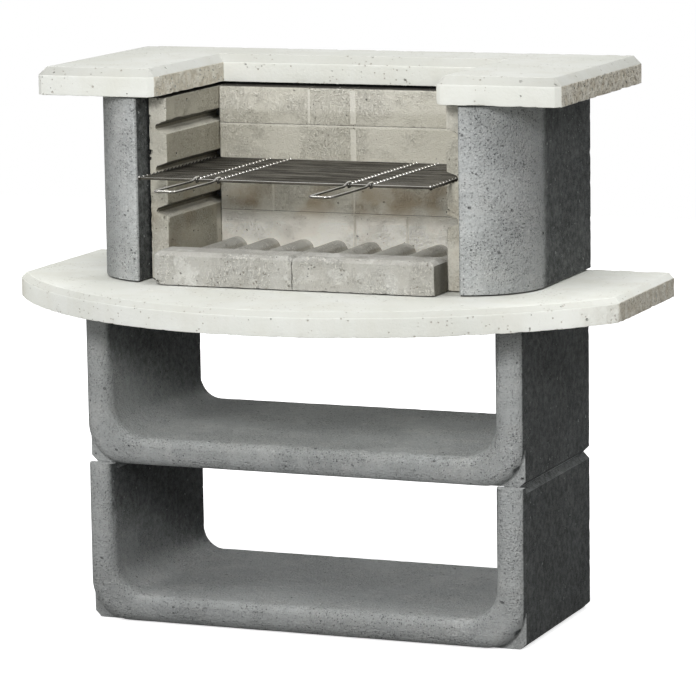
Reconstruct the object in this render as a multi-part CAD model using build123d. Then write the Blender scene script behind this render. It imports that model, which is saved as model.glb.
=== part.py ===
"""Outdoor masonry barbecue: stacked U blocks, bowed worktop, firebrick hearth and slide-out grill.

Millimetres. +Z is up, +Y runs to the back, +X to the right as seen from the front.
The origin is on the ground, in the middle of the whole object's box.
"""
from math import sqrt
import os

from build123d import *

# Base blocks, both alike
block_width = 900
block_depth = 380
block_height = 312.5
block_edge_chamfer = 12
leg_thickness = 55
floor_thickness = 55
leg_draft = 13
floor_draft = 11
throat_front_radius = 65
throat_back_radius = 45
lip_reach = 30
lip_corner_radius = 80
lip_round_share = 0.47
lip_reach_share = 0.87

# Worktop
worktop_width = 1240
worktop_thickness = 48
worktop_bevel = 11
worktop_corner_share = 1.3
worktop_side_depth = 341
worktop_front_reach = 290
worktop_back_overhang = 15

# Pillars and rear wall, in grey concrete
pillar_thickness = 122
pillar_height = 359
pillar_front_reach = 26
pillar_corner_radius = 150
pillar_nose_radius = 6
pillar_edge_chamfer = 3

# Firebrick lining
hearth_width = 574
panel_thickness = 39
panel_gap = 2
panel_setback = 54
panel_edge_chamfer = 2.5
lining_top_gap = 5
rear_brick_thickness = 42
rear_brick_setback = 252
rear_brick_chamfer = 2.5
brick_joint = 0.4
course_height = 86.5
# Upright joints of each course, bottom course first, as shares of half the hearth's width
course_joint_shares = ((0, 0.385), (-0.6, 0), (0,), (-0.325, 0))

# Grill slots in the side panels
slot_count = 3
first_slot_height = 134
slot_pitch = 81
slot_depth = 23
slot_mouth_height = 25
slot_end_radius = 6
grill_level = 1

# Hearth bed and kerb
bed_base = 19
ridge_height = 35
ridge_count = 4
ridge_foot_share = 0.92
ridge_shoulder_share = 0.56
ridge_shoulder_height_share = 0.6
kerb_height = 66
kerb_depth = 72
kerb_end_overlap = 0.5
kerb_end_radius = 4
kerb_bevel = 8

# Top slab
slab_thickness = 54.5
slab_side_overhang = 84
slab_front_overhang = 6
slab_back_overhang = 64
bridge_overhang = 14
slab_bevel = 16
slab_corner_share = 0.7

# Grill of wire
grill_depth = 360
grill_back_gap = 2
grill_side_gap = 10.5
rail_diameter = 7
rod_diameter = 5
bar_diameter = 3.4
bar_count = 20
handle_offset = 155
handle_leg_spacing = 44
handle_reach = 195
handle_rise = 2
handle_corner_radius = 13
handle_wire_diameter = 5

# Clearances
fit_gap = 0.3
wire_gap = 0.15
overrun = 10
edge_tolerance = 0.01

# Places along the depth, with the blocks' front plane set so that the whole box is centred
back_reach = block_depth + worktop_back_overhang + slab_back_overhang
block_front = (worktop_front_reach - back_reach) / 2
block_back = block_front + block_depth
worktop_front = block_front - worktop_front_reach
worktop_back = block_back + worktop_back_overhang
pillar_front = block_front - pillar_front_reach
pillar_back = worktop_back
panel_front = pillar_front + panel_setback
rear_brick_front = panel_front + rear_brick_setback
rear_wall_front = rear_brick_front + rear_brick_thickness
slab_front = pillar_front - slab_front_overhang
slab_back = pillar_back + slab_back_overhang
bridge_front = rear_wall_front - bridge_overhang

# Places up the height
worktop_bottom = 2 * block_height
hearth_floor = worktop_bottom + worktop_thickness
slab_bottom = hearth_floor + pillar_height
lining_top = slab_bottom - lining_top_gap

# Places across the width
hearth_half = hearth_width / 2
pillar_inner = hearth_half + panel_thickness + panel_gap
pillar_outer = pillar_inner + pillar_thickness
slab_half = pillar_outer + slab_side_overhang

parts = {}


def block(x_low, x_high, y_low, y_high, z_low, z_high):
    """A plain box between three pairs of limits."""
    size = (x_high - x_low, y_high - y_low, z_high - z_low)
    middle = ((x_low + x_high) / 2, (y_low + y_high) / 2, (z_low + z_high) / 2)
    return Pos(*middle) * Box(*size)


def upright_plane(y):
    """The XZ plane at a depth, facing the front."""
    return Plane(origin=(0, y, 0), x_dir=(1, 0, 0), z_dir=(0, -1, 0))


def rod_along(x, y_low, y_high, z, diameter):
    """A round rod that runs front to back."""
    middle = (x, (y_low + y_high) / 2, z)
    return Pos(*middle) * Rot(X=90) * Cylinder(diameter / 2, y_high - y_low)


def rod_across(x_low, x_high, y, z, diameter):
    """A round rod that runs left to right."""
    middle = ((x_low + x_high) / 2, y, z)
    return Pos(*middle) * Rot(Y=90) * Cylinder(diameter / 2, x_high - x_low)


def throat_outline(half_width, floor, radius):
    """The opening of a U block in front view, carried on above its open top."""
    height = 2 * block_height
    return Pos(0, floor + height / 2) * RectangleRounded(2 * half_width, height, radius)


def u_block():
    """One U block: square casting behind, rounded lip in front, throat that narrows to the back."""
    half = block_width / 2
    casting = block(-half, half, block_front, block_back, 0, block_height)
    casting = chamfer(casting.edges().filter_by(Axis.Y), block_edge_chamfer)
    front_throat = throat_outline(half - leg_thickness, floor_thickness, throat_front_radius)
    back_throat = throat_outline(
        half - leg_thickness - leg_draft, floor_thickness + floor_draft, throat_back_radius
    )
    lip_face = Pos(0, block_height) * RectangleRounded(block_width, 2 * block_height, lip_corner_radius)
    lip_face = upright_plane(block_front) * (lip_face - front_throat)
    lip = extrude(lip_face, amount=lip_reach)
    lip &= block(-half, half, block_front - lip_reach, block_front, 0, block_height)
    rim = lip.faces().sort_by(Axis.Y)[0].edges()
    rim = [edge for edge in rim if edge.center().Z < block_height - edge_tolerance]
    round_limit = min(leg_thickness, floor_thickness) * lip_round_share
    lip = fillet(rim, min(round_limit, lip_reach * lip_reach_share))
    sections = [upright_plane(block_front) * front_throat, upright_plane(block_back) * back_throat]
    casting -= loft(sections, ruled=True)
    top_edges = [
        edge
        for edge in casting.edges()
        if edge.center().Z > block_height - edge_tolerance
        and edge.length > block_depth - edge_tolerance
        and abs(edge.center().X) < half - leg_thickness
    ]
    casting = chamfer(top_edges, block_edge_chamfer)
    return casting + lip


def worktop():
    """The bowed worktop, bevelled along its top edge except at the back."""
    half = worktop_width / 2
    corner = worktop_back - worktop_side_depth
    outline = [
        Line((-half, worktop_back), (-half, corner)),
        ThreePointArc((-half, corner), (0, worktop_front), (half, corner)),
        Line((half, corner), (half, worktop_back)),
        Line((half, worktop_back), (-half, worktop_back)),
    ]
    top = extrude(make_face(outline), amount=worktop_thickness)
    front_corners = top.edges().filter_by(Axis.Z).sort_by(Axis.Y)[:2]
    top = fillet(front_corners, worktop_bevel * worktop_corner_share)
    rim = top.faces().sort_by(Axis.Z)[-1].edges().sort_by(Axis.Y)[:-1]
    top = chamfer(rim, worktop_bevel)
    return Pos(0, 0, worktop_bottom) * top


def pillar():
    """The right pillar: flat inner face, large rounded front corner outside."""
    depth = pillar_back - pillar_front
    middle = Pos(pillar_inner + pillar_thickness / 2, pillar_front + depth / 2)
    face = middle * Rectangle(pillar_thickness, depth)
    spread = pillar_thickness + 2 * pillar_corner_radius
    length = depth + 2 * pillar_corner_radius
    rounded = RectangleRounded(spread, length, pillar_corner_radius)
    rounded = Pos(pillar_outer - spread / 2, pillar_front + length / 2) * rounded
    body = extrude(face & rounded, amount=pillar_height)
    nose = body.edges().filter_by(Axis.Z).group_by(Axis.X)[0].sort_by(Axis.Y)[0]
    body = fillet(nose, pillar_nose_radius)
    ends = body.faces().sort_by(Axis.Z)
    body = chamfer(ends[0].edges() + ends[-1].edges(), pillar_edge_chamfer)
    return Pos(0, 0, hearth_floor) * body


def top_slab():
    """The U-shaped top slab: two arms over the pillars and a bridge at the back."""
    outline = [
        (-slab_half, slab_front),
        (-hearth_half, slab_front),
        (-hearth_half, bridge_front),
        (hearth_half, bridge_front),
        (hearth_half, slab_front),
        (slab_half, slab_front),
        (slab_half, slab_back),
        (-slab_half, slab_back),
    ]
    slab = extrude(make_face(Polyline(*outline, close=True)), amount=slab_thickness)
    arm_corners = slab.edges().filter_by(Axis.Z).group_by(Axis.Y)[0]
    slab = chamfer(arm_corners, slab_bevel * slab_corner_share)
    rim = slab.faces().sort_by(Axis.Z)[-1].edges().sort_by(Axis.Y)[:-1]
    slab = chamfer(rim, slab_bevel)
    return Pos(0, 0, slab_bottom) * slab


def slot_middle(number):
    """Height of the middle of one pair of grill slots, the lowest being number 0."""
    return hearth_floor + first_slot_height + number * slot_pitch


def side_panel():
    """The right side panel of firebrick, with its flared slots."""
    panel_outer = hearth_half + panel_thickness
    panel = block(hearth_half, panel_outer, panel_front, rear_wall_front, hearth_floor, lining_top)
    panel = chamfer(panel.faces().sort_by(Axis.Y)[0].edges(), panel_edge_chamfer)
    end = hearth_half + slot_depth - slot_end_radius
    for number in range(slot_count):
        middle = slot_middle(number)
        flare = [
            (hearth_half - overrun, middle - slot_mouth_height / 2),
            (hearth_half, middle - slot_mouth_height / 2),
            (end, middle - slot_end_radius),
            (end, middle + slot_end_radius),
            (hearth_half, middle + slot_mouth_height / 2),
            (hearth_half - overrun, middle + slot_mouth_height / 2),
        ]
        section = make_face(Polyline(*flare, close=True)) + Pos(end, middle) * Circle(slot_end_radius)
        length = rear_wall_front - panel_front + 2 * overrun
        panel -= extrude(upright_plane(rear_wall_front + overrun) * section, amount=length)
    return panel


def rear_bricks():
    """The bricks of the lining's rear wall; the top course takes what height is left."""
    courses = range(len(course_joint_shares))
    levels = [hearth_floor + bed_base + course * course_height for course in courses]
    levels.append(lining_top)
    for course, joint_shares in enumerate(course_joint_shares):
        cuts = [-hearth_half] + [share * hearth_half for share in joint_shares] + [hearth_half]
        for number, (left, right) in enumerate(zip(cuts[:-1], cuts[1:])):
            brick = block(
                left + brick_joint / 2,
                right - brick_joint / 2,
                rear_brick_front,
                rear_wall_front,
                levels[course],
                levels[course + 1],
            )
            brick = chamfer(brick.faces().sort_by(Axis.Y)[0].edges(), rear_brick_chamfer)
            parts[f"rear_brick_course{course + 1}_{number + 1}"] = brick


def hearth_plate():
    """The right half of the hearth bed: flat plate with rounded ridges that run front to back."""
    base_top = hearth_floor + bed_base
    plate = block(fit_gap / 2, hearth_half - fit_gap, panel_front, rear_wall_front, hearth_floor, base_top)
    pitch = hearth_half / ridge_count
    foot = pitch * ridge_foot_share / 2
    shoulder = pitch * ridge_shoulder_share / 2
    low = base_top - fit_gap
    bend = base_top + ridge_height * ridge_shoulder_height_share
    crest = base_top + ridge_height
    for number in range(ridge_count):
        middle = (number + 1 / 2) * pitch
        outline = [
            Line((middle + foot, low), (middle - foot, low)),
            Line((middle - foot, low), (middle - shoulder, bend)),
            ThreePointArc((middle - shoulder, bend), (middle, crest), (middle + shoulder, bend)),
            Line((middle + shoulder, bend), (middle + foot, low)),
        ]
        section = upright_plane(rear_brick_front) * make_face(outline)
        plate += extrude(section, amount=rear_brick_front - panel_front)
    return plate


def kerb_brick():
    """The right kerb brick, in front of the hearth bed."""
    brick = block(
        fit_gap / 2,
        hearth_half + kerb_end_overlap,
        panel_front - kerb_depth,
        panel_front,
        hearth_floor,
        hearth_floor + kerb_height,
    )
    rim = brick.faces().sort_by(Axis.Z)[-1].edges().sort_by(Axis.Y)[:-1]
    brick = chamfer(rim, kerb_bevel)
    end = brick.edges().filter_by(Axis.Z).group_by(Axis.X)[-1].sort_by(Axis.Y)[0]
    return fillet(end, kerb_end_radius)


# Grill, level with its slots: its side rails lie on the flared floor of the slots
slot_end = hearth_half + slot_depth
rail_offset = slot_end - grill_side_gap - rail_diameter / 2
flare_slope = (slot_mouth_height / 2 - slot_end_radius) / (slot_depth - slot_end_radius)
rail_seat = (rail_offset - hearth_half) * flare_slope - slot_mouth_height / 2
rail_lift = (rail_diameter / 2 + fit_gap) * sqrt(1 + flare_slope ** 2)
grill_height = slot_middle(grill_level) + rail_seat + rail_lift
grill_back = rear_brick_front - grill_back_gap
grill_front = grill_back - grill_depth
rod_front = grill_front + rail_diameter / 2
rod_back = grill_back - rail_diameter / 2
bar_pitch = (rod_back - rod_front) / (bar_count + 1)
bar_places = [rod_front + (number + 1) * bar_pitch for number in range(bar_count)]
rod_reach = rail_offset + rail_diameter / 2


def grill_rail(x):
    """One woven rail, bored where the bars and the end rods pass through."""
    rail = rod_along(x, grill_front, grill_back, grill_height, rail_diameter)
    reach = rail_diameter
    for y in bar_places:
        rail -= rod_across(x - reach, x + reach, y, grill_height, bar_diameter + 2 * wire_gap)
    for y in (rod_front, rod_back):
        rail -= rod_across(x - reach, x + reach, y, grill_height, rod_diameter + 2 * wire_gap)
    return rail


def handle_loop(middle):
    """The smooth U of wire in front of the grill, which rises a little towards its tip."""
    half = handle_leg_spacing / 2
    slope_length = sqrt(handle_reach ** 2 + handle_rise ** 2)
    tilted = Plane(
        origin=(middle, grill_front, grill_height),
        x_dir=(1, 0, 0),
        z_dir=(0, -handle_rise, -handle_reach),
    )
    corners = [(-half, 0), (-half, slope_length), (half, slope_length), (half, 0)]
    path = tilted * FilletPolyline(*corners, radius=handle_corner_radius)
    start = Plane(origin=path @ 0, z_dir=path % 0)
    return sweep(start * Circle(handle_wire_diameter / 2), path=path)


def handle(middle):
    """One handle: a loop of wire whose legs run on as two rails to the rear rod."""
    half = handle_leg_spacing / 2
    return handle_loop(middle) + grill_rail(middle - half) + grill_rail(middle + half)


def grill_bars():
    """The thin bars, one group of separate wires."""
    bars = [rod_across(-rod_reach, rod_reach, y, grill_height, bar_diameter) for y in bar_places]
    return Compound(children=bars)


def mirrored(shape):
    """The left-hand twin of a right-hand piece."""
    return mirror(shape, about=Plane.YZ)


def add_pair(name, shape):
    """Keep a right-hand piece and its left-hand twin."""
    parts[f"{name}_right"] = shape
    parts[f"{name}_left"] = mirrored(shape)


base_block = u_block()
parts["lower_u_block"] = base_block
parts["upper_u_block"] = Pos(0, 0, block_height) * base_block
parts["worktop"] = worktop()
add_pair("pillar", pillar())
wall_depth = (rear_wall_front, pillar_back)
parts["rear_wall"] = block(-pillar_inner, pillar_inner, *wall_depth, hearth_floor, slab_bottom)
parts["top_slab"] = top_slab()
add_pair("side_panel", side_panel())
rear_bricks()
add_pair("hearth_plate", hearth_plate())
add_pair("kerb_brick", kerb_brick())
add_pair("grill_side_rail", grill_rail(rail_offset))
add_pair("grill_handle", handle(handle_offset))
parts["grill_front_rod"] = rod_across(-rod_reach, rod_reach, rod_front, grill_height, rod_diameter)
parts["grill_rear_rod"] = rod_across(-rod_reach, rod_reach, rod_back, grill_height, rod_diameter)
parts["grill_bars"] = grill_bars()

os.makedirs("parts", exist_ok=True)
for name, shape in parts.items():
    export_step(shape, f"parts/{name}.step")
    print(name, round(shape.volume), shape.is_valid)
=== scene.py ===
"""Outdoor masonry barbecue: the looks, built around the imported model.

Metres. +Z is up, +Y runs to the back, +X to the right as seen from the front.
"""
import random
from math import cos, pi, radians, sin

import bmesh
import bpy
import numpy as np
from mathutils import Matrix, Vector, noise


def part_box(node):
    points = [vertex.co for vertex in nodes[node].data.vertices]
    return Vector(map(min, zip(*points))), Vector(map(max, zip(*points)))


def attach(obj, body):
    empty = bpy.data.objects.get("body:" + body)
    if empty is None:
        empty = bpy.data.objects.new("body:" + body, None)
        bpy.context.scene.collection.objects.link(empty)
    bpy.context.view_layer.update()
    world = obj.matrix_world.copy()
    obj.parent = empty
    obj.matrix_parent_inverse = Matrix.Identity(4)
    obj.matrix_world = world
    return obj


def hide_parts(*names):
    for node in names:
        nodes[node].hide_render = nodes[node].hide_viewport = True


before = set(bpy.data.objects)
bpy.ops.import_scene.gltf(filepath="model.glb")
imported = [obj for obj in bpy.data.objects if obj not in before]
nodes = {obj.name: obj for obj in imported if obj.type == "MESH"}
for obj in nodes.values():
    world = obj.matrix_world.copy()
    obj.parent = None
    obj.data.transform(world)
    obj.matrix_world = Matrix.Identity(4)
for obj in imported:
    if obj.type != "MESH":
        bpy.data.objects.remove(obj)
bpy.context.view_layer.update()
scene = bpy.context.scene

# Camera, fitted to the photograph's edges
PHOTO_SIZE = 696
FOCAL_PIXELS = 3935
SENSOR_WIDTH = 36
AZIMUTH = radians(22.0)
ELEVATION = radians(9.25)
ROLL = radians(-0.84)
LOOK_AT = Vector((0.0142, 0.1155, 0.5265))
DISTANCE = 7.69

# Casting detail
WELD = 1e-5
FLAT_ANGLE = radians(0.5)
ARRIS_ANGLE = radians(20)
SHARP_ANGLE = radians(38)

# Open joints: under and over the pillars and under the kerb, and beside the panels
BED_JOINT = 0.0015
PANEL_JOINT = 0.003

# Top of the firebrick lining, just under the slab, and the tone of the painted shade in the joint there, near
# black
LINING_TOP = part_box("side_panel_left")[1][2]
GAP_SHADE_TONE = 0.06

# Half the width of the fire room, between the side panels
HEARTH_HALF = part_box("side_panel_right")[0][0]

# The depth over which the panels' slots carry painted shade, from near to far, measured from the fire room
SLOT_NEAR = 0.003
SLOT_FAR = 0.025
SLOT_FADE = 0.005

# Front of the rear bricks, and the joint over their lowest course
REAR_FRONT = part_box("rear_brick_course1_1")[0][1]
LOW_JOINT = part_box("rear_brick_course2_1")[0][2]

# Heights between which the brown stains fade out, and between which the painted shade in a zone round the
# grill ends
STAIN_FADE = (0.90, 0.80)
GRILL_SHADE_FADE = (0.99, 0.97)

# How far back the pillars' sides begin to lie in shade
PILLAR_SHADE_DEPTH = 0.031

# Distances from the middle between which the painted light and shade of the pale pieces change, and
# between which the pits in their cut sides turn from round to worm-like
PALE_ENDS = (0.36, 0.60)
WORM_EDGE = (0.40, 0.42)

# Air holes: the smallest one and the flat floor, as shares of the radius, and how deep they look
SMALLEST_HOLE = 0.4
HOLE_FLOOR = 0.6
HOLE_DEPTH = 0.0022

# Colours
BLACK = (0.0, 0.0, 0.0, 1)
WHITE = (1, 1, 1, 1)
RIM_LIGHT = (0.92, 0.92, 0.90, 1)
SHADE_TINT = (0.97, 1.0, 0.995, 1)
CEMENT_DARK = (0.507, 0.525, 0.522, 1)
CEMENT_PALE = (0.565, 0.583, 0.574, 1)
CEMENT_LIME = (0.74, 0.735, 0.71, 1)
CEMENT_DAMP = (0.40, 0.41, 0.41, 1)
CEMENT_SAND = (0.27, 0.275, 0.275, 1)
CEMENT_CRUMBS = (0.88, 0.89, 0.87, 1)
CEMENT_HOLE_SHADE = (0.10, 0.105, 0.105, 1)
CREAM_DARK = (0.765, 0.775, 0.715, 1)
CREAM_PALE = (0.82, 0.83, 0.785, 1)
CREAM_STREAKS = (0.70, 0.69, 0.61, 1)
CREAM_SPECKS = (0.56, 0.54, 0.47, 1)
CREAM_BEVEL_SHADE = (0.40, 0.40, 0.36, 1)
CREAM_HOLE_SHADE = (0.25, 0.185, 0.125, 1)
CUT_DARK = (0.70, 0.645, 0.52, 1)
CUT_PALE = (0.93, 0.905, 0.80, 1)
CUT_SAND = (0.56, 0.49, 0.38, 1)
BRICK_SCUFFS = (0.88, 0.86, 0.78, 1)
BRICK_DRAGS = (0.44, 0.405, 0.33, 1)
BRICK_SAND = (0.42, 0.39, 0.32, 1)
BRICK_HOLE_SHADE = (0.24, 0.205, 0.155, 1)
CHALK = (0.84, 0.84, 0.80, 1)
LOW_LIGHT_COLOUR = (0.93, 0.915, 0.855, 1)
SLOT_SHADE = (0.03, 0.028, 0.022, 1)
GAP_SHADE_BLACK = (0.03, 0.028, 0.024, 1)
WIRE_SHADE_DARK = (0.032, 0.030, 0.025, 1)
WIRE_SHADE_PALE = (0.088, 0.083, 0.070, 1)
PLATED = (0.80, 0.79, 0.76, 1)
PLATED_HANDLE = (0.42, 0.41, 0.385, 1)
FLOOR_HIDDEN = (0.35, 0.35, 0.35, 1)
FLOOR_SEEN = (0.9, 0.9, 0.9, 1)

# Weathering: steps between the pieces' patterns, scales of dips, bites and nicks, the nicks' share and
# the least bite
PATTERN_STEPS = (3.7, 5.3, 7.9)
DIP_SCALE = 22
BITE_SCALE = 55
NICK_SCALE = 130
NICK_SHARE = 0.6
LEAST_BITE = 0.15

# Pits: which faces are sides, how much more common small ones are, and how far apart they lie
SIDE_LIMIT = 0.9
PIT_SKEW = 2.5
PIT_SPACING = 1.6

# Chips knocked off the left panel's front arrises: heights and radii
OUTER_CHIPS = ((0.921, 0.006), (0.908, 0.004), (0.99, 0.003))
INNER_CHIPS = ((0.7935, 0.008), (1.004, 0.004))
KERB_CHIP = 0.010

# Mortar in the rear wall: half widths, how far it lies behind the bricks and how deep it goes. Level joints
# are narrower and lie a hair further back, by a share of their place.
MORTAR_HALF = 0.0023
LEVEL_HALF = MORTAR_HALF * 0.8
MORTAR_SET_BACK = 0.0004
LEVEL_SHIFT = 1.0012
MORTAR_DEPTH = 0.008
SMEAR_HALF = 0.006
SMEAR_STEP = 0.008

# How far strips of mortar stop short at their ends, and how close two places in the wall count as one
LEVEL_END = 0.002
UPRIGHT_END = 0.004
SMEAR_ENDS = (0.006, 0.005)
SAME_PLACE = 0.01

# Grill wires
BAR_COUNT = 20
BAR_RADIUS = 0.0017
ROD_RADIUS = 0.0025
RAIL_RADIUS = 0.0035
STRAND_RADIUS = 0.0012
HANDLE_STRAND_RADIUS = 0.0016
HANDLE_RADIUS = 0.0025
TWIST_STEPS = 12
HOOK_STEPS = 5
LINE_STEPS = 24
WIRE_SHARP_ANGLE = radians(60)
WIRE_END_SHARE = 0.6
BOW = 0.0006
SAG = 0.0004

# Soft lights: name, azimuth, elevation, distance, size and power
LIGHTS = (("key", 5, 26, 6, 1.2, 172),
          ("front_high", 0, 60, 5, 1.5, 45),
          ("left", -60, 38, 6, 2.4, 51),
          ("right", 75, 40, 5, 1.5, 42),
          ("overhead_right", 90, 66, 4, 1.0, 29),
          ("overhead_left", -90, 66, 4, 1.0, 28))
AMBIENT = 0.27


def add_camera():
    """The photograph's view."""
    back = Vector((sin(AZIMUTH) * cos(ELEVATION), -cos(AZIMUTH) * cos(ELEVATION), sin(ELEVATION)))
    level = Vector((cos(AZIMUTH), sin(AZIMUTH), 0))
    upright = back.cross(level)
    right = level * cos(ROLL) + upright * sin(ROLL)
    up = upright * cos(ROLL) - level * sin(ROLL)
    data = bpy.data.cameras.new("camera")
    data.sensor_width = SENSOR_WIDTH
    data.lens = FOCAL_PIXELS / PHOTO_SIZE * SENSOR_WIDTH
    camera = bpy.data.objects.new("camera", data)
    scene.collection.objects.link(camera)
    turn = Matrix((right, up, back)).transposed().to_4x4()
    camera.matrix_world = Matrix.Translation(LOOK_AT + back * DISTANCE) @ turn
    scene.camera = camera


def add_light(name, azimuth, elevation, distance, size, power):
    """A square soft light that faces the object. Azimuth 0 is in front, 90 on the right."""
    data = bpy.data.lights.new(name, "AREA")
    data.shape = "SQUARE"
    data.size = size
    data.energy = power
    light = bpy.data.objects.new(name, data)
    scene.collection.objects.link(light)
    turn, tilt = radians(azimuth), radians(elevation)
    away = Vector((sin(turn) * cos(tilt), -cos(turn) * cos(tilt), sin(tilt)))
    light.location = LOOK_AT + away * distance
    light.rotation_euler = away.to_track_quat("Z", "Y").to_euler()


def linked(tree, socket, value):
    """Sets a socket, or links it if the value is another node's output."""
    if isinstance(value, bpy.types.NodeSocket):
        tree.links.new(value, socket)
    else:
        socket.default_value = value


def add_node(tree, kind, inputs=None, **settings):
    """A shader node with its inputs and settings."""
    made = tree.nodes.new(kind)
    for key, value in settings.items():
        setattr(made, key, value)
    for key, value in (inputs or {}).items():
        linked(tree, made.inputs[key], value)
    return made


def calculate(tree, operation, *values):
    """One step of arithmetic on numbers."""
    made = add_node(tree, "ShaderNodeMath", operation=operation)
    for socket, value in zip(made.inputs, values):
        linked(tree, socket, value)
    return made.outputs[0]


def product(tree, first, *others):
    """Numbers multiplied one after the other."""
    for other in others:
        first = calculate(tree, "MULTIPLY", first, other)
    return first


def larger(tree, first, second):
    """The larger of two numbers."""
    return calculate(tree, "MAXIMUM", first, second)


def ramp(tree, value, low, high, out_low=0.0, out_high=1.0):
    """A smooth rise from out_low to out_high as value goes from low to high."""
    inputs = {"Value": value, "From Min": low, "From Max": high, "To Min": out_low, "To Max": out_high}
    made = add_node(tree, "ShaderNodeMapRange", inputs, interpolation_type="SMOOTHSTEP")
    return made.outputs[0]


def mix(tree, share, first, second, blend="MIX"):
    """Two colours mixed."""
    made = add_node(tree, "ShaderNodeMix", data_type="RGBA", blend_type=blend)
    for index, value in ((0, share), (6, first), (7, second)):
        linked(tree, made.inputs[index], value)
    return made.outputs[2]


def mix_number(tree, share, first, second):
    """Two numbers mixed."""
    made = add_node(tree, "ShaderNodeMix", data_type="FLOAT")
    for index, value in ((0, share), (2, first), (3, second)):
        linked(tree, made.inputs[index], value)
    return made.outputs[0]


def covered(tree, colour, *layers):
    """The colour under layers, each a mask, its strength and its tint."""
    for mask, strength, tint in layers:
        colour = mix(tree, product(tree, mask, strength), colour, tint)
    return colour


def toned(tree, colour, tone):
    """The colour times a tone or another colour."""
    return mix(tree, 1.0, colour, tone, "MULTIPLY")


def grain(tree, place, scale, detail=3.0, roughness=0.55, distortion=0.0):
    """Noise from 0 to 1."""
    inputs = {"Vector": place, "Scale": scale, "Detail": detail, "Roughness": roughness,
              "Distortion": distortion}
    return add_node(tree, "ShaderNodeTexNoise", inputs).outputs[0]


def stretched(tree, place, scale):
    """The place, stretched by a scale for each axis."""
    return add_node(tree, "ShaderNodeMapping", {"Vector": place, "Scale": scale}).outputs[0]


def pinholes(tree, place, scale, share, radius):
    """1 in small round holes that a share of the cells have, 0 elsewhere. Radius is in cells."""
    cells = add_node(tree, "ShaderNodeTexVoronoi", {"Vector": place, "Scale": scale})
    chance = add_node(tree, "ShaderNodeSeparateColor", {"Color": cells.outputs["Color"]}).outputs
    chosen = calculate(tree, "LESS_THAN", chance[0], share)
    reach = ramp(tree, chance[1], 0.0, 1.0, radius * SMALLEST_HOLE, radius)
    inputs = {"Value": cells.outputs["Distance"], "From Min": reach,
              "From Max": product(tree, reach, HOLE_FLOOR)}
    hole = add_node(tree, "ShaderNodeMapRange", inputs, interpolation_type="SMOOTHSTEP").outputs[0]
    return product(tree, hole, chosen)


def bumped(tree, height, distance, strength=1.0, under=None):
    """A surface normal, raised by a height."""
    inputs = {"Height": height, "Distance": distance, "Strength": strength}
    if under is not None:
        inputs["Normal"] = under
    return add_node(tree, "ShaderNodeBump", inputs).outputs[0]


def axes(tree, vector):
    """The x, y and z parts of a vector."""
    return add_node(tree, "ShaderNodeSeparateXYZ", {"Vector": vector}).outputs


def normal_part(tree, axis):
    """How far the surface looks along an axis, from -1 to 1."""
    return axes(tree, add_node(tree, "ShaderNodeNewGeometry").outputs["Normal"])[axis]


def sideways(tree, low=0.75, high=0.97):
    """1 on faces that look left or right, 0 on the others."""
    return ramp(tree, calculate(tree, "ABSOLUTE", normal_part(tree, 0)), low, high)


def shaded_hollows(tree, colour, hollow=0.5, rim=0.25):
    """The colour with painted shade in real hollows, and a little lighter on rims and arrises."""
    shape = add_node(tree, "ShaderNodeNewGeometry").outputs["Pointiness"]
    dark = product(tree, ramp(tree, shape, 0.47, 0.40), hollow)
    light = product(tree, ramp(tree, shape, 0.53, 0.60), rim)
    return mix(tree, dark, mix(tree, light, colour, RIM_LIGHT, "SOFT_LIGHT"), BLACK)


def new_material(name, roughness, specular=0.3):
    """A material, its node tree, its shader and the place on the surface in metres."""
    material = bpy.data.materials.new(name)
    material.use_nodes = True
    tree = material.node_tree
    shader = tree.nodes["Principled BSDF"]
    shader.inputs["Roughness"].default_value = roughness
    shader.inputs["Specular IOR Level"].default_value = specular
    place = add_node(tree, "ShaderNodeTexCoord").outputs["Object"]
    return material, tree, shader, place


def set_surface(tree, shader, colour, normal, holes):
    """Gives the shader its colour and its surface normal, with the holes sunk in."""
    linked(tree, shader.inputs["Base Color"], colour)
    raised = calculate(tree, "SUBTRACT", 1.0, holes)
    linked(tree, shader.inputs["Normal"], bumped(tree, raised, HOLE_DEPTH, 0.9, normal))


def cement_skin(tree, place):
    """The colour of grey cement, where its skin is open, and its air holes."""
    clouds = ramp(tree, grain(tree, place, 5.0, 5.0), 0.32, 0.68)
    blotches = ramp(tree, grain(tree, place, 20.0, 6.0, 0.65), 0.45, 0.66)
    mottle = ramp(tree, grain(tree, place, 90.0, 5.0, 0.7), 0.38, 0.68)
    sand = ramp(tree, grain(tree, place, 420.0, 3.0, 0.6), 0.35, 0.68)
    open_skin = ramp(tree, grain(tree, place, 9.0, 4.0), 0.40, 0.60, 0.5, 1.0)
    crumbs = product(tree, ramp(tree, grain(tree, place, 280.0, 2.0), 0.57, 0.70), open_skin)
    fine_holes = product(tree, pinholes(tree, place, 270.0, 0.8, 0.46), open_skin)
    holes = larger(tree, fine_holes, pinholes(tree, place, 95.0, 0.14, 0.27))
    # Air holes get painted shade, as they are only bumped in
    colour = covered(tree, mix(tree, clouds, CEMENT_DARK, CEMENT_PALE), (blotches, 0.27, CEMENT_LIME),
                     (mottle, 0.30, CEMENT_DAMP), (sand, 0.25, CEMENT_SAND), (crumbs, 0.5, CEMENT_CRUMBS),
                     (holes, 0.65, CEMENT_HOLE_SHADE))
    return colour, open_skin, holes


def pillar_shade(tree, parts, depth, inner):
    """1 on a pillar where its sides lie in shade: behind a depth, and on the side towards the hearth."""
    inside = ramp(tree, calculate(tree, "ABSOLUTE", parts[0]), inner + 0.02, inner)
    return larger(tree, ramp(tree, parts[1], depth - 0.02, depth + 0.03), inside)


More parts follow.
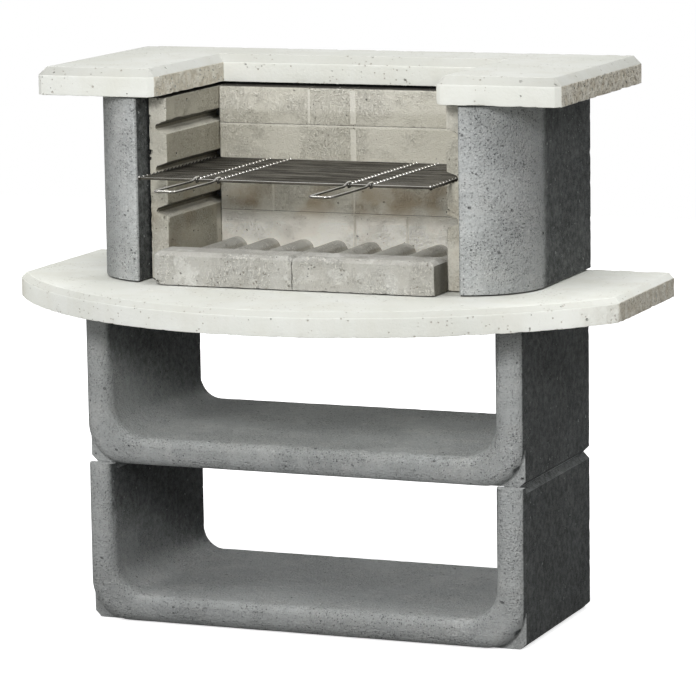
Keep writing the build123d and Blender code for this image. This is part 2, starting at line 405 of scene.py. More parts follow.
def pillar_light(tree, parts, foot, head):
    """Painted shade on a pillar: its bend turns dark, and so do its foot and head in their open joints."""
    return (ramp(tree, calculate(tree, "ABSOLUTE", normal_part(tree, 0)), 0.2, 1.0, 1.0, 0.63),
            ramp(tree, parts[2], foot + BED_JOINT, foot + 2.5 * BED_JOINT, 0.25, 1.0),
            ramp(tree, parts[2], head - BED_JOINT, head - 4 * BED_JOINT, 0.25, 1.0))


def block_shade(tree, parts, side_shade, outer, height):
    """1 where a U block lies in shade: its outer sides, their bevels, and its inner sides further up."""
    beyond = ramp(tree, calculate(tree, "ABSOLUTE", parts[0]), outer - 0.025, outer - 0.015)
    bevels = larger(tree, ramp(tree, normal_part(tree, 2), -0.4, -0.55),
                    ramp(tree, normal_part(tree, 2), 0.4, 0.55, 0.0, 0.75))
    bevels = product(tree, bevels, sideways(tree, 0.6, 0.7))
    level = calculate(tree, "MODULO", parts[2], height)
    deep = calculate(tree, "MULTIPLY_ADD", parts[1], 0.35, 0.05)
    roofed = ramp(tree, calculate(tree, "ADD", level, deep), 0.12, 0.34, 0.05, 1.0)
    inner = product(tree, sideways(tree, 0.5, 1.0), roofed)
    return mix_number(tree, beyond, inner, larger(tree, side_shade, bevels))


def block_light(tree, parts, outer, height):
    """Painted shade on the two U blocks: darker near the ground, to the left, and close under the worktop as
    its shadow.
    """
    return (ramp(tree, parts[2], 0.0, 0.34, 0.80, 1.0),
            ramp(tree, parts[0], -outer, outer, 0.89, 1.05),
            ramp(tree, parts[2], 2 * height - 0.045, 2 * height, 1.0, 0.45))


def grey_concrete(name, front, side, top, gap_shade_above=None, dark_behind=None, block=None, ends=None):
    """Cast grey concrete: cloudy cement skin over close lumpy grain, with small air holes.

    Its tone, painted light and shade, is front, side and top for faces that look forwards, sideways and up.
    gap_shade_above is the height from which a piece is painted black, the shade in the joint under the slab.
    Pillars have dark_behind, the depth and the half width that bound their shaded sides, and ends, the
    heights of foot and head. U blocks have block, their half width and height.
    """
    material, tree, shader, place = new_material(name, 0.92, 0.15)
    colour, open_skin, holes = cement_skin(tree, place)
    parts = axes(tree, place)
    # Painted light and shade: the tone follows which way a face looks, and faces that look sideways are
    # darker
    tone = ramp(tree, normal_part(tree, 2), 0.2, 1.0, front, top)
    side_shade = sideways(tree, 0.90, 0.995)
    if dark_behind:
        side_shade = product(tree, side_shade, pillar_shade(tree, parts, *dark_behind))
    if block:
        side_shade = block_shade(tree, parts, side_shade, *block)
        tone = product(tree, tone, *block_light(tree, parts, *block))
    side_shade_grain = ramp(tree, grain(tree, place, 75.0, 7.0, 0.8), 0.36, 0.66, 0.55, 1.5)
    tone = product(tree, tone, ramp(tree, side_shade, 0.0, 1.0, 1.0, side / front),
                   mix_number(tree, side_shade, 1.0, side_shade_grain))
    if ends:
        tone = product(tree, tone, *pillar_light(tree, parts, *ends))
    # Painted shade: black in the joint under the slab
    if gap_shade_above:
        tone = product(tree, tone,
                       ramp(tree, parts[2], gap_shade_above - 0.003, gap_shade_above - 0.002, 1.0, GAP_SHADE_TONE))
    colour = mix(tree, side_shade, colour, toned(tree, colour, SHADE_TINT))
    lumps = product(tree, grain(tree, place, 230.0, 3.0, 0.6), open_skin)
    normal = bumped(tree, grain(tree, place, 70.0, 4.0, 0.6), 0.006, 0.6)
    normal = bumped(tree, lumps, 0.008, 1.0, normal)
    set_surface(tree, shader, shaded_hollows(tree, toned(tree, colour, tone)), normal, holes)
    return material


def pale_concrete(name, top, front, cut_tone, worm_share):
    """Cream-white cast concrete, smooth above and in front, sandy and pitted on its cut sides.

    Its tone, painted light and shade, is set for faces that look up and that look forwards, each in the
    middle and at the ends of the piece, and for its cut sides; its bevels carry painted shade. worm_share
    is how deep the worm-like pits of its outer sides look.
    """
    material, tree, shader, place = new_material(name, 0.85, 0.2)
    across = calculate(tree, "ABSOLUTE", axes(tree, place)[0])
    upward = normal_part(tree, 2)
    cut_side = sideways(tree)

    clouds = ramp(tree, grain(tree, place, 6.0, 4.0), 0.3, 0.7)
    streaks = ramp(tree, grain(tree, stretched(tree, place, (16, 16, 5)), 1.0, 5.0), 0.42, 0.70)
    specks = ramp(tree, grain(tree, place, 300.0, 3.0), 0.62, 0.74)
    # Painted shade on the bevels between top and front
    bevel = product(tree, ramp(tree, upward, 0.3, 0.6), ramp(tree, upward, 0.95, 0.8),
                    ramp(tree, normal_part(tree, 1), -0.2, -0.6), ramp(tree, across, *PALE_ENDS, 0.30, 0.55))
    smooth = covered(tree, mix(tree, clouds, CREAM_DARK, CREAM_PALE), (streaks, 0.35, CREAM_STREAKS),
                     (specks, 0.25, CREAM_SPECKS))
    smooth = mix(tree, bevel, smooth, CREAM_BEVEL_SHADE)

    patches = ramp(tree, grain(tree, place, 55.0, 5.0, 0.65), 0.32, 0.68)
    sand = ramp(tree, grain(tree, place, 420.0, 3.0), 0.35, 0.7)
    cut = covered(tree, mix(tree, patches, CUT_DARK, CUT_PALE), (sand, 0.22, CUT_SAND))
    cut = toned(tree, cut, (cut_tone, cut_tone, cut_tone, 1))

    few = product(tree, pinholes(tree, place, 70.0, 0.12, 0.2), 0.6)
    clusters = product(tree, pinholes(tree, place, 150.0, 0.35, 0.36),
                       ramp(tree, grain(tree, place, 9.0), 0.47, 0.55, 0.0, 0.55))
    worms = product(tree, ramp(tree, grain(tree, place, 135.0, 3.0, 0.6, 1.2), 0.43, 0.37),
                    ramp(tree, across, *WORM_EDGE, 0.0, worm_share))
    round_pits = product(tree, pinholes(tree, place, 95.0, 0.5, 0.34),
                         ramp(tree, across, *WORM_EDGE, 1.0, 0.0))
    many = product(tree, larger(tree, worms, round_pits), cut_side)
    holes = larger(tree, larger(tree, few, clusters), many)

    # Pits get painted shade, as they are only bumped in
    colour = covered(tree, mix(tree, cut_side, smooth, cut), (holes, 0.8, CREAM_HOLE_SHADE))
    # Painted light and shade: tones for faces that look up or forwards, changing towards the ends
    tone = mix_number(tree, ramp(tree, upward, 0.35, 0.6), ramp(tree, across, *PALE_ENDS, *front),
                      ramp(tree, across, *PALE_ENDS, *top))
    normal = bumped(tree, grain(tree, place, 160.0, 3.0), 0.0014, 0.5)
    normal = bumped(tree, product(tree, patches, cut_side), 0.004, 0.8, normal)
    set_surface(tree, shader, shaded_hollows(tree, toned(tree, colour, tone)), normal, holes)
    return material


def fired_colour(tree, place, colour, stain, low_light_share, grill_shade_tone):
    """A brick's colour after use, its height and its distance from the middle.

    It has stains low down, painted shade in a zone round the grill, and on the rear wall a painted lighter
    lowest course and painted shade in its outer corners by the lowest joint.
    """
    parts = axes(tree, place)
    height = parts[2]
    across = calculate(tree, "ABSOLUTE", parts[0])
    rear = ramp(tree, parts[1], REAR_FRONT - 0.03, REAR_FRONT - 0.01)
    low = product(tree, ramp(tree, height, *STAIN_FADE), ramp(tree, rear, 0.0, 1.0, 0.35, 0.8))
    colour = covered(tree, colour, (low, ramp(tree, grain(tree, place, 11.0, 5.0), 0.42, 0.62), stain))
    # Painted light: the lowest course of the rear wall is paler and lighter
    painted_low_light = product(tree, ramp(tree, height, LOW_JOINT + 0.022, LOW_JOINT - 0.022),
                    ramp(tree, rear, 0.0, 1.0, 0.0, low_light_share))
    colour = toned(tree, mix(tree, painted_low_light, colour, LOW_LIGHT_COLOUR), ramp(tree, painted_low_light, 0.0, 1.0, 1.0, 1.25))
    # Painted shade in a zone round the grill
    grill_shade = product(tree, ramp(tree, height, *GRILL_SHADE_FADE), ramp(tree, height, LOW_JOINT - 0.02, LOW_JOINT))
    colour = mix(tree, grill_shade, colour, toned(tree, colour, (grill_shade_tone, grill_shade_tone * 0.995, grill_shade_tone * 0.97, 1)))
    # Painted shade in the rear wall's outer corners by its lowest joint
    corner_shade = product(tree, ramp(tree, height, LOW_JOINT - 0.035, LOW_JOINT - 0.005),
                   ramp(tree, height, LOW_JOINT + 0.04, LOW_JOINT + 0.015), rear,
                   ramp(tree, across, 0.12, 0.28))
    colour = toned(tree, colour, ramp(tree, corner_shade, 0.0, 1.0, 1.0, 0.72))
    return colour, height, across


def firebrick(name, pale, dark, stain, chalk=0.0, scuffed=1.0, side=0.80, low_light_share=0.2, grill_shade_tone=1.0):
    """Pressed firebrick: worm-like scuffs in patches, sand, brown stains low down, black painted shade on top
    under the slab, and painted shade in the slots and on faces that look down.

    chalk and scuffed are how much of each shows, and ash how strongly the lowest course of the rear wall is
    painted lighter. side and band are the tones of painted shade on faces that look sideways and in the
    zone round the grill.
    """
    material, tree, shader, place = new_material(name, 0.93, 0.15)
    side_shade = sideways(tree)
    clouds = ramp(tree, grain(tree, place, 9.0, 5.0), 0.3, 0.7)
    open_skin = product(tree, ramp(tree, grain(tree, place, 13.0, 3.0), 0.42, 0.60, 0.25, 1.0), scuffed)
    worms = grain(tree, stretched(tree, place, (150, 150, 95)), 1.0, 3.0, 0.5, 2.5)
    scuffs = product(tree, ramp(tree, worms, 0.52, 0.62), open_skin)
    drags = product(tree, ramp(tree, worms, 0.46, 0.36), open_skin)
    sand = ramp(tree, grain(tree, place, 420.0, 3.0), 0.35, 0.7)
    colour = covered(tree, mix(tree, clouds, dark, pale), (scuffs, 0.65, BRICK_SCUFFS),
                     (drags, 0.26, BRICK_DRAGS), (sand, 0.18, BRICK_SAND))
    if chalk:
        dust = ramp(tree, grain(tree, place, 16.0, 6.0, 0.72), 0.52, 0.60)
        colour = covered(tree, colour, (dust, chalk, CHALK))
    colour, height, across = fired_colour(tree, place, colour, stain, low_light_share, grill_shade_tone)
    holes = product(tree, pinholes(tree, place, 150.0, 0.22, 0.36), open_skin)
    # Holes get painted shade, as they are only bumped in
    colour = covered(tree, colour, (holes, 0.6, BRICK_HOLE_SHADE))
    # Painted shade: faces that look sideways are darker
    colour = toned(tree, colour, mix(tree, side_shade, WHITE, (side, side * 0.98, side * 0.91, 1)))
    # Painted shade in the slots of the panels and on faces that look down
    slots = product(tree, ramp(tree, across, HEARTH_HALF + SLOT_NEAR, HEARTH_HALF + SLOT_NEAR + SLOT_FADE),
                    ramp(tree, across, HEARTH_HALF + SLOT_FAR, HEARTH_HALF + SLOT_FAR - SLOT_FADE), side_shade)
    under = larger(tree, ramp(tree, normal_part(tree, 2), -0.1, -0.5), slots)
    colour = shaded_hollows(tree, covered(tree, colour, (under, 0.75, SLOT_SHADE)))
    # Painted shade: faces that look up at the top of the lining are black, the shadow in the joint under the
    # slab
    gap_shade = product(tree, ramp(tree, height, LINING_TOP - 0.004, LINING_TOP),
                     ramp(tree, normal_part(tree, 2), 0.3, 0.9))
    normal = bumped(tree, product(tree, worms, open_skin), 0.0075, 0.8)
    normal = bumped(tree, sand, 0.0012, 0.6, normal)
    set_surface(tree, shader, mix(tree, gap_shade, colour, GAP_SHADE_BLACK), normal, holes)
    return material


def steel_wire(level, front):
    """Plated wire: a painted highlight where it stands above the bars, painted shade below and on its
    undersides.
    """
    material, tree, shader, place = new_material("steel_wire", 0.3)
    shader.inputs["Metallic"].default_value = 1.0
    parts = axes(tree, place)
    # Painted highlight on wire above the bars that looks up, painted shade below and underneath
    above = ramp(tree, parts[2], level + BAR_RADIUS, level + ROD_RADIUS)
    highlight_mask = product(tree, above, ramp(tree, normal_part(tree, 2), -0.1, 0.5))
    wear = ramp(tree, grain(tree, stretched(tree, place, (9, 140, 9)), 1.0, 4.0), 0.35, 0.7)
    wire_shade = mix(tree, wear, WIRE_SHADE_DARK, WIRE_SHADE_PALE)
    on_handle = ramp(tree, parts[1], front - 2 * ROD_RADIUS, front - 5 * ROD_RADIUS)
    bright = mix(tree, on_handle, PLATED, PLATED_HANDLE)
    linked(tree, shader.inputs["Base Color"], mix(tree, highlight_mask, wire_shade, bright))
    linked(tree, shader.inputs["Roughness"], ramp(tree, highlight_mask, 0.0, 1.0, 0.5, 0.16))
    linked(tree, shader.inputs["Normal"], bumped(tree, grain(tree, place, 900.0, 2.0), 0.0002, 0.3))
    return material


def seen_rays(tree):
    """1 for rays that come from the camera, straight, mirrored or through something clear."""
    rays = add_node(tree, "ShaderNodeLightPath").outputs
    seen = larger(tree, rays["Is Camera Ray"], rays["Is Glossy Ray"])
    return larger(tree, seen, rays["Is Transmission Ray"])


def floor_material():
    """White floor: plain to the camera except for a soft shadow close to the object."""
    material, tree, shader, place = new_material("floor", 0.9, 0.0)
    seen = seen_rays(tree)
    linked(tree, shader.inputs["Base Color"], mix(tree, seen, FLOOR_HIDDEN, FLOOR_SEEN))
    away = add_node(tree, "ShaderNodeVectorMath", {0: place}, operation="LENGTH").outputs["Value"]
    strength = product(tree, seen, ramp(tree, away, 0.9, 2.2, 0.68, 1.0))
    glow = add_node(tree, "ShaderNodeEmission", {"Color": WHITE, "Strength": strength})
    both = add_node(tree, "ShaderNodeAddShader")
    tree.links.new(shader.outputs[0], both.inputs[0])
    tree.links.new(glow.outputs[0], both.inputs[1])
    tree.links.new(both.outputs[0], tree.nodes["Material Output"].inputs["Surface"])
    return material


def add_floor():
    """A plain pale floor."""
    half = 6
    mesh = bpy.data.meshes.new("floor")
    corners = [(-half, -half, 0), (half, -half, 0), (half, half, 0), (-half, half, 0)]
    mesh.from_pydata(corners, [], [(0, 1, 2, 3)])
    floor = add_object("floor", mesh, floor_material())
    floor.location.z = -0.0005


def set_world(ambient):
    """White behind everything that is seen or mirrored, and a weaker light from all round."""
    world = bpy.data.worlds.new("world")
    world.use_nodes = True
    scene.world = world
    tree = world.node_tree
    background = tree.nodes["Background"]
    background.inputs["Color"].default_value = WHITE
    linked(tree, background.inputs["Strength"], ramp(tree, seen_rays(tree), 0.0, 1.0, ambient, 1.0))


def add_object(name, mesh, material):
    """A new object with one material."""
    thing = bpy.data.objects.new(name, mesh)
    scene.collection.objects.link(thing)
    mesh.materials.append(material)
    return thing


def add_smooth(name, mesh, material, sharp_angle):
    """A new object with smooth faces that meet sharply beyond an angle."""
    mesh.polygons.foreach_set("use_smooth", [True] * len(mesh.polygons))
    mesh.set_sharp_from_angle(angle=sharp_angle)
    return add_object(name, mesh, material)


def joined(name, forms):
    """One mesh of several forms, each given by its vertices and faces."""
    vertices, faces = [], []
    for new_vertices, new_faces in forms:
        faces += [tuple(len(vertices) + index for index in face) for face in new_faces]
        vertices += [tuple(vertex) for vertex in new_vertices]
    mesh = bpy.data.meshes.new(name)
    mesh.from_pydata(vertices, [], faces)
    return mesh


def set_in(form, low, high):
    """Moves the outermost faces on each axis inwards by the low and high amounts."""
    for axis in range(3):
        places = [vert.co[axis] for vert in form.verts]
        least, most = min(places), max(places)
        for vert in form.verts:
            if vert.co[axis] < least + WELD:
                vert.co[axis] += low[axis]
            elif vert.co[axis] > most - WELD:
                vert.co[axis] -= high[axis]


def rounded_form(name, rounding, low, high):
    """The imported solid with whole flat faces, open joints and rounded arrises."""
    form = bmesh.new()
    form.from_mesh(nodes[name].data)
    bmesh.ops.remove_doubles(form, verts=form.verts[:], dist=WELD)
    bmesh.ops.dissolve_limit(form, angle_limit=FLAT_ANGLE, verts=form.verts[:], edges=form.edges[:])
    set_in(form, low, high)
    arrises = [edge for edge in form.edges if edge.is_convex and edge.calc_face_angle(0) > ARRIS_ANGLE]
    bmesh.ops.bevel(form, geom=arrises, offset=rounding, segments=2, profile=0.5, affect="EDGES",
                    clamp_overlap=True)
    return form


def sliced(form, cell):
    """Cuts the form along planes about a cell apart in all three directions."""
    low = [min(vert.co[axis] for vert in form.verts) for axis in range(3)]
    high = [max(vert.co[axis] for vert in form.verts) for axis in range(3)]
    for axis in range(3):
        count = max(1, round((high[axis] - low[axis]) / cell))
        facing = Vector([float(axis == other) for other in range(3)])
        for step in range(1, count):
            middle = facing * (low[axis] + (high[axis] - low[axis]) * step / count)
            everything = form.verts[:] + form.edges[:] + form.faces[:]
            bmesh.ops.bisect_plane(form, geom=everything, dist=WELD, plane_co=middle, plane_no=facing)
    return form


def weather(form, seed, unevenness, chipping):
    """Lets the faces dip a little and the arrises crumble, always inwards."""
    form.normal_update()
    offset = Vector([seed * step for step in PATTERN_STEPS])
    moves = []
    for vert in form.verts:
        place = vert.co + offset
        dip = unevenness * (0.5 + 0.5 * noise.noise(place * DIP_SCALE))
        if any(edge.calc_face_angle(0) > ARRIS_ANGLE for edge in vert.link_edges):
            bites = noise.noise(place * BITE_SCALE) + NICK_SHARE * noise.noise(place * NICK_SCALE)
            dip += chipping * max(0.0, bites - LEAST_BITE)
        moves.append(vert.normal * dip)
    for vert, move in zip(form.verts, moves):
        vert.co -= move
    return form


def pit_places(mesh, count, radii, seed, side_weight):
    """Scattered places on the mesh: centres, directions and radii. Sides count side_weight times."""
    mesh.calc_loop_triangles()
    points = np.array([vert.co for vert in mesh.vertices])
    triangles = np.array([triangle.vertices for triangle in mesh.loop_triangles])
    corners = points[triangles]
    cross = np.cross(corners[:, 1] - corners[:, 0], corners[:, 2] - corners[:, 0])
    area = np.linalg.norm(cross, axis=1) / 2
    facing = cross / np.maximum(area * 2, WELD ** 2)[:, None]
    weight = area * np.where(np.abs(facing[:, 0]) > SIDE_LIMIT, side_weight, 1.0)
    draw = np.random.default_rng(seed)
    chosen = draw.choice(len(area), size=count * 2, p=weight / weight.sum())
    shares = draw.random((count * 2, 2))
    shares = np.where(shares.sum(1)[:, None] > 1, 1 - shares, shares)
    first, second, third = (corners[chosen, index] for index in range(3))
    centres = first + shares[:, :1] * (second - first) + shares[:, 1:] * (third - first)
    sizes = radii[0] + (radii[1] - radii[0]) * draw.random(count * 2) ** PIT_SKEW
    kept = []
    for index in range(count * 2):
        if all(np.linalg.norm(centres[index] - centres[other]) > PIT_SPACING * (sizes[index] + sizes[other])
               for other in kept):
            kept.append(index)
        if len(kept) == count:
            break
    return centres[kept], facing[chosen[kept]], sizes[kept]


def pit_cutter(places, seed):
    """One mesh of small uneven blobs, each sunk so that it cuts a round hole of its radius."""
    blob = bmesh.new()
    bmesh.ops.create_icosphere(blob, subdivisions=2, radius=1)
    unit = np.array([vert.co for vert in blob.verts])
    faces = np.array([[vert.index for vert in face.verts] for face in blob.faces])
    blob.free()
    draw = np.random.default_rng(seed)
    points, all_faces = [], []
    for number, (centre, facing, radius) in enumerate(zip(*places)):
        along = np.cross(facing, (0.3, 0.5, 0.8))
        along /= np.linalg.norm(along)
        across = np.cross(facing, along)
        stretch = 1 + 0.5 * draw.random()
        shape = unit * (1 + 0.12 * draw.standard_normal((len(unit), 1)))
        wide = shape[:, :1] * along * stretch + shape[:, 1:2] * across
        points.append(centre + radius * (wide + shape[:, 2:] * facing * 0.9 - 0.25 * facing))
        all_faces.append(faces + number * len(unit))
    mesh = bpy.data.meshes.new("pits")
    mesh.from_pydata(np.concatenate(points).tolist(), [], np.concatenate(all_faces).tolist())
    return mesh


def cut_pits(mesh, count, radii, seed, side_weight, chips):
    """The mesh with real pits cut into it, and chips knocked off, each a place, a direction and a radius."""
    places = pit_places(mesh, count, radii, seed, side_weight)
    if chips:
        added = [np.array([chip[part] for chip in chips], float) for part in range(3)]
        added[1] /= np.linalg.norm(added[1], axis=1)[:, None]
        places = [np.concatenate((found, more)) for found, more in zip(places, added)]
    cutter = bpy.data.objects.new("pits", pit_cutter(places, seed))
    body = bpy.data.objects.new("body", mesh)
    scene.collection.objects.link(body)
    scene.collection.objects.link(cutter)
    modifier = body.modifiers.new("pits", "BOOLEAN")
    modifier.operation = "DIFFERENCE"
    modifier.solver = "MANIFOLD"
    modifier.object = cutter
    pitted = bpy.data.meshes.new_from_object(body.evaluated_get(bpy.context.evaluated_depsgraph_get()))
    bpy.data.objects.remove(body)
    bpy.data.objects.remove(cutter)
    return pitted


def masonry(name, material, seed, cell=0.010, rounding=0.0015, unevenness=0.0005, chipping=0.002,
            pits=0, radii=(0.0012, 0.0032), side_weight=1.0, low=(0, 0, 0), high=(0, 0, 0), chips=()):
    """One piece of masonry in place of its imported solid.

    It is cut into cells, its faces dip by the unevenness and its arrises crumble by the chipping. The
    outermost faces are set in by low and high, which opens joints. Pits and chips are cut last.
    """
    form = rounded_form(name, rounding, low, high)
    form = weather(sliced(form, cell), seed, unevenness, chipping)
    mesh = bpy.data.meshes.new(name + "_cast")
    form.to_mesh(mesh)
    form.free()
    if pits:
        mesh = cut_pits(mesh, pits, radii, seed, side_weight, chips)
    mesh.materials.clear()
    mesh.polygons.foreach_set("material_index", [0] * len(mesh.polygons))
    piece = add_smooth(name + "_cast", mesh, material, SHARP_ANGLE)
    weighted = piece.modifiers.new("normals", "WEIGHTED_NORMAL")
    weighted.keep_sharp = True
    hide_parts(name)
    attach(piece, "masonry")


def mortar_strip(start, end, half_width, front, back, seed):
    """Vertices and faces of a flat strip of mortar with wandering edges, from start to end on the wall."""
    start, end = Vector(start), Vector(end)
    along = (end - start).normalized()
    across = along.cross(Vector((0, 1, 0)))
    count = max(2, round((end - start).length / SMEAR_STEP))
    vertices, faces = [], []
    for step in range(count + 1):
        middle = start + (end - start) * step / count
        for sign in (-1, 1):
            wander = 1 + 0.25 * noise.noise(middle * 90 + Vector((seed, sign * 9, 0)))
            edge = middle + across * sign * half_width * wander
            vertices += [(edge.x, front, edge.z), (edge.x, back, edge.z)]
    for step in range(count):
        ring, after = step * 4, step * 4 + 4
        for first, second in ((0, 2), (2, 3), (3, 1), (1, 0)):
            faces.append((ring + second, ring + first, after + first, after + second))
    faces += [(0, 2, 3, 1), (count * 4 + 1, count * 4 + 3, count * 4 + 2, count * 4)]
    return vertices, faces


def add_mortar(material):
    """Mortar in the joints of the rear wall, and two wide smears over its middle joint near the top."""
    boxes = [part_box(name) for name in nodes if name.startswith("rear_brick")]
    front = min(low[1] for low, high in boxes)
    left, right = min(low[0] for low, high in boxes), max(high[0] for low, high in boxes)
    levels = sorted({round(low[2], 4) for low, high in boxes})
    set_back, depth = front + MORTAR_SET_BACK, front + MORTAR_DEPTH
    strips = []
    for level in levels[1:]:
        strips.append(((left + LEVEL_END, 0, level), (right - LEVEL_END, 0, level), LEVEL_HALF,
                       set_back * LEVEL_SHIFT, depth))
    for low, high in boxes:
        x = high[0]
        if x < right - SAME_PLACE:
            strips.append(((x, 0, low[2] + UPRIGHT_END), (x, 0, high[2] - UPRIGHT_END), MORTAR_HALF,
                           set_back, depth))
            if abs(x) < SAME_PLACE and low[2] > levels[1] + SAME_PLACE:
                strips.append(((x, 0, low[2] + SMEAR_ENDS[0]), (x, 0, high[2] - SMEAR_ENDS[1]), SMEAR_HALF,
                               front - MORTAR_SET_BACK, front + MORTAR_SET_BACK / 2))
    mesh = joined("mortar", [mortar_strip(*strip, seed) for seed, strip in enumerate(strips)])
    piece = add_object("mortar", mesh, material)
    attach(piece, "masonry")


def tube(points, radius, sides=10):
    """Vertices and faces of a round wire along a line of points, with rounded ends."""
    line = np.array(points, float)
    reach = np.linalg.norm(line[1] - line[0])
    tangents = np.gradient(line, axis=0)
    tangents /= np.linalg.norm(tangents, axis=1)[:, None]
    side = np.cross(tangents[0], (0.31, 0.52, 0.79))
    turns = np.arange(sides) * 2 * pi / sides
    rings = []
    for middle, tangent in zip(line, tangents):
        side = side - tangent * side.dot(tangent)
        side /= np.linalg.norm(side)
        other = np.cross(tangent, side)
        rings.append((middle, tangent, side, other, 1.0))
    for end, inward in ((0, 1), (-1, -1)):
        middle, tangent, first, second, _ = rings[end]
        inner = (middle + inward * tangent * min(radius * 0.5, reach * 0.5), tangent, first, second, 1.0)
        outer = (middle, tangent, first, second, WIRE_END_SHARE)
        rings[end:end + 1 or None] = [outer, inner] if end == 0 else [inner, outer]
    vertices = []
    for middle, tangent, first, second, share in rings:
        for turn in turns:
            vertices.append(middle + radius * share * (cos(turn) * first + sin(turn) * second))
    faces = []
    for ring in range(len(rings) - 1):
        for step in range(sides):
            after = (step + 1) % sides
            low, high = ring * sides, (ring + 1) * sides
            faces.append((low + step, low + after, high + after, high + step))
    faces.append(tuple(reversed(range(sides))))
    faces.append(tuple(range((len(rings) - 1) * sides, len(rings) * sides)))
    return vertices, faces


def wires(name, runs, node, material):
    """One piece of the grill made of several wires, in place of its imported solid."""
    mesh = joined(name, [tube(points, radius) for points, radius in runs])
    piece = add_smooth(name, mesh, material, WIRE_SHARP_ANGLE)
    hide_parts(node)
    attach(piece, "grill")


def node_middle(name):
    """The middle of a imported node's box."""
    low, high = (Vector(corner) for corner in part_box(name))
    return (low + high) / 2


def grill_layout():
    """Where the grill's wires cross: the rods and the bars, each with its radius, from front to back."""
    front, back = node_middle("grill_front_rod").y, node_middle("grill_rear_rod").y
    pitch = (back - front) / (BAR_COUNT + 1)
    crossings = [(front, ROD_RADIUS)]
    crossings += [(front + (number + 1) * pitch, BAR_RADIUS) for number in range(BAR_COUNT)]
    return crossings + [(back, ROD_RADIUS)]


def strand(x, height, crossings, phase, radius):
    """A strand of a twisted rail: it passes over or under each wire and turns round its twin between them."""
    points = []
    start, end = crossings[0][0], crossings[-1][0]
    hook = ROD_RADIUS + radius
    for step in range(HOOK_STEPS):
        turn = pi / 2 * (1 - step / HOOK_STEPS) * phase
        points.append((x + phase * radius * sin(turn) * 0.2, start - hook * sin(abs(turn)),
                       height + phase * hook * cos(turn)))
    for (first, first_radius), (second, second_radius) in zip(crossings[:-1], crossings[1:]):
        for step in range(TWIST_STEPS):
            share = step / TWIST_STEPS
            weight = cos(pi * share) ** 2
            wire = first_radius if share < 0.5 else second_radius
            reach = radius * 1.02 * (1 - weight) + (wire + radius * 0.95) * weight
            turn = phase * pi / 2 + 2 * pi * share
            points.append((x + reach * cos(turn), first + (second - first) * share,
                           height + reach * sin(turn)))
    for step in range(HOOK_STEPS + 1):
        turn = pi / 2 * step / HOOK_STEPS
        points.append((x, end + hook * sin(turn), height + phase * hook * cos(turn)))
    return points, radius


def handle_line(left, right, height, front, tip):
    """The U of a handle: over the front rod, out to the tip and back."""
    lift = 2 * ROD_RADIUS
    rise = 0.002
    corner = 0.013
    behind = front + 0.009

    def level(y):
        over = min(1.0, max(0.0, (y - front + 0.026) / 0.022))
        over = over * over * (3 - 2 * over)
        return height + lift * over + rise * max(0.0, (front - y) / (front - tip))

    leg = [behind - step * 0.0025 for step in range(16)]
    leg += [leg[-1] + (tip + corner - leg[-1]) * step / 8 for step in range(1, 9)]
    points = [(left, y, level(y)) for y in leg]
    for step in range(1, 10):
        turn = pi / 2 * step / 9
        y = tip + corner * (1 - sin(turn))
        points.append((left + corner * (1 - cos(turn)), y, level(y)))
    for step in range(9):
        turn = pi / 2 * (1 - step / 9)
        y = tip + corner * (1 - sin(turn))
        points.append((right - corner * (1 - cos(turn)), y, level(y)))
    points += [(right, y, level(y)) for y in reversed(leg)]
    return points, HANDLE_RADIUS


def add_grill(material):
    """All the wires of the grill."""
    crossings = grill_layout()
    height = node_middle("grill_front_rod").z
    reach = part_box("grill_front_rod")[1][0]
    draw = random.Random(5)
    for side, sign in (("left", -1), ("right", 1)):
        x = sign * (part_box("grill_side_rail_right")[1][0] - RAIL_RADIUS)
        wires(f"rail_{side}", [strand(x, height, crossings, phase, STRAND_RADIUS) for phase in (1, -1)],
              "grill_side_rail_" + side, material)
        low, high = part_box("grill_handle_" + side)
        left, right = low[0] + RAIL_RADIUS, high[0] - RAIL_RADIUS
        runs = [strand(x, height, crossings, phase, HANDLE_STRAND_RADIUS)
                for x in (left, right) for phase in (1, -1)]
        runs.append(handle_line(left, right, height, crossings[0][0], low[1] + HANDLE_RADIUS))
        wires(f"handle_{side}", runs, "grill_handle_" + side, material)
    for end, place in (("front", 0), ("rear", -1)):
        y = crossings[place][0]
        line = [(-reach + 2 * reach * step / LINE_STEPS, y, height) for step in range(LINE_STEPS + 1)]
        wires(f"rod_{end}", [(line, ROD_RADIUS)], f"grill_{end}_rod", material)
    runs = []
    for y, radius in crossings[1:-1]:
        bow, sag = draw.uniform(-BOW, BOW), draw.uniform(-SAG, SAG)
        line = []
        for step in range(LINE_STEPS + 1):
            share = step / LINE_STEPS
            bend = sin(pi * 3 * share)
            line.append((-reach + 2 * reach * share, y + bow * bend, height + sag * bend))
        runs.append((line, radius))
    wires("bars", runs, "grill_bars", material)


scene.view_settings.view_transform = "Standard"
add_camera()
add_floor()
set_world(AMBIENT)
for settings in LIGHTS:
    add_light(*settings)

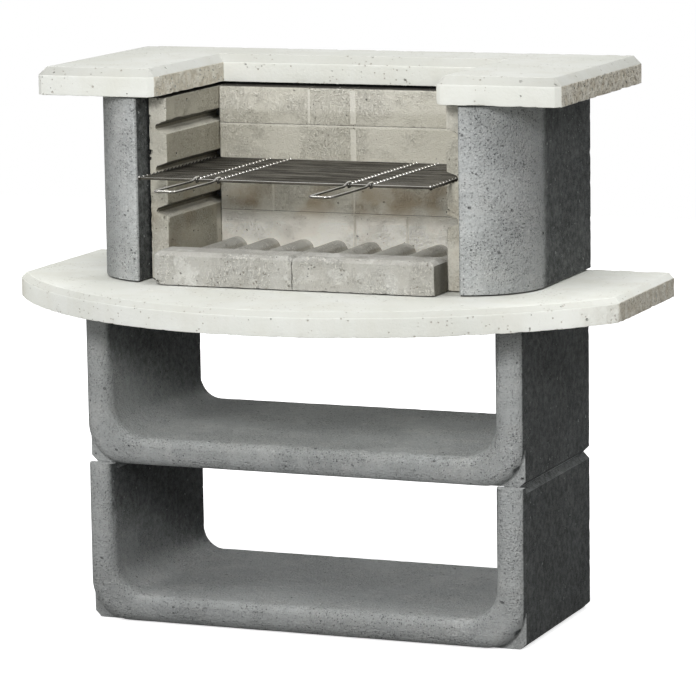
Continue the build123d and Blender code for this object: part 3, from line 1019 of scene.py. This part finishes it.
pillar_low, pillar_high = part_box("pillar_right")
pillar_grey = grey_concrete("pillar_concrete", 1.05, 0.31, 1.0,
                            dark_behind=(PILLAR_SHADE_DEPTH, pillar_low[0]),
                            ends=(pillar_low[2], pillar_high[2]))
block_outer, block_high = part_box("lower_u_block")[1][0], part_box("upper_u_block")[0][2]
block_grey = grey_concrete("block_concrete", 0.88, 0.172, 1.25, block=(block_outer, block_high))
wall_grey = grey_concrete("wall_concrete", 0.93, 0.5, 1.0, gap_shade_above=LINING_TOP)
slab_pale = pale_concrete("slab_concrete", (0.77, 0.72), (1.0, 0.96), 0.88, 1.0)
worktop_pale = pale_concrete("worktop_concrete", (0.834, 1.11), (0.98, 1.24), 0.66, 0.4)
brick = firebrick("firebrick", (0.72, 0.70, 0.62, 1), (0.66, 0.64, 0.555, 1), (0.45, 0.365, 0.25, 1),
                  side=0.61, low_light_share=0.75, grill_shade_tone=0.84)
mortar = firebrick("mortar", (0.76, 0.74, 0.66, 1), (0.72, 0.70, 0.62, 1), (0.54, 0.47, 0.36, 1),
                   scuffed=0.15, grill_shade_tone=0.84)
bed = firebrick("hearth_bed", (0.45, 0.445, 0.415, 1), (0.395, 0.39, 0.36, 1), (0.37, 0.355, 0.31, 1))
kerb = firebrick("kerb_brick", (0.53, 0.525, 0.494, 1), (0.485, 0.48, 0.449, 1), (0.45, 0.43, 0.38, 1),
                 chalk=0.42, side=0.40)
front_rod = node_middle("grill_front_rod")
steel = steel_wire(front_rod.z, front_rod.y)

for seed, name in enumerate(("lower_u_block", "upper_u_block")):
    masonry(name, block_grey, seed + 1, pits=420)
for seed, name in enumerate(("pillar_left", "pillar_right")):
    masonry(name, pillar_grey, seed + 5, pits=300,
            low=(0, 0, BED_JOINT), high=(0, 0, BED_JOINT))
masonry("rear_wall", wall_grey, 7, pits=220)
masonry("worktop", worktop_pale, 11, pits=380, chipping=0.004, side_weight=5.0)
masonry("top_slab", slab_pale, 12, pits=420, chipping=0.004, side_weight=8.0)
panel_low, panel_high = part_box("side_panel_left")
panel_chips = [((panel_low[0] + PANEL_JOINT, panel_low[1], height), (-1, -1, 0), size)
               for height, size in OUTER_CHIPS]
panel_chips += [((panel_high[0], panel_low[1], height), (1, -1, 1), size) for height, size in INNER_CHIPS]
masonry("side_panel_left", brick, 21, cell=0.007, pits=90, chipping=0.005,
        low=(PANEL_JOINT, 0, 0), chips=panel_chips)
masonry("side_panel_right", brick, 22, cell=0.007, pits=90, chipping=0.005,
        high=(PANEL_JOINT, 0, 0))
rear_bricks = sorted(name for name in nodes if name.startswith("rear_brick"))
for seed, name in enumerate(rear_bricks):
    masonry(name, brick, seed + 31, pits=10, radii=(0.001, 0.0025), rounding=0.0008)
add_mortar(mortar)
kerb_low, kerb_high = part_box("kerb_brick_left")
kerb_chips = {"left": [((kerb_low[0], kerb_low[1], kerb_low[2] + BED_JOINT), (-1, -1, -1), KERB_CHIP),
                       ((kerb_high[0], kerb_low[1], kerb_high[2]), (0.6, -1, 1), KERB_CHIP)],
              "right": []}
for seed, side in enumerate(("left", "right")):
    masonry("hearth_plate_" + side, bed, seed + 51, pits=40)
    masonry("kerb_brick_" + side, kerb, seed + 61, cell=0.007, pits=40,
            radii=(0.0008, 0.002), chipping=0.004, low=(0, 0, BED_JOINT), chips=kerb_chips[side])
add_grill(steel)
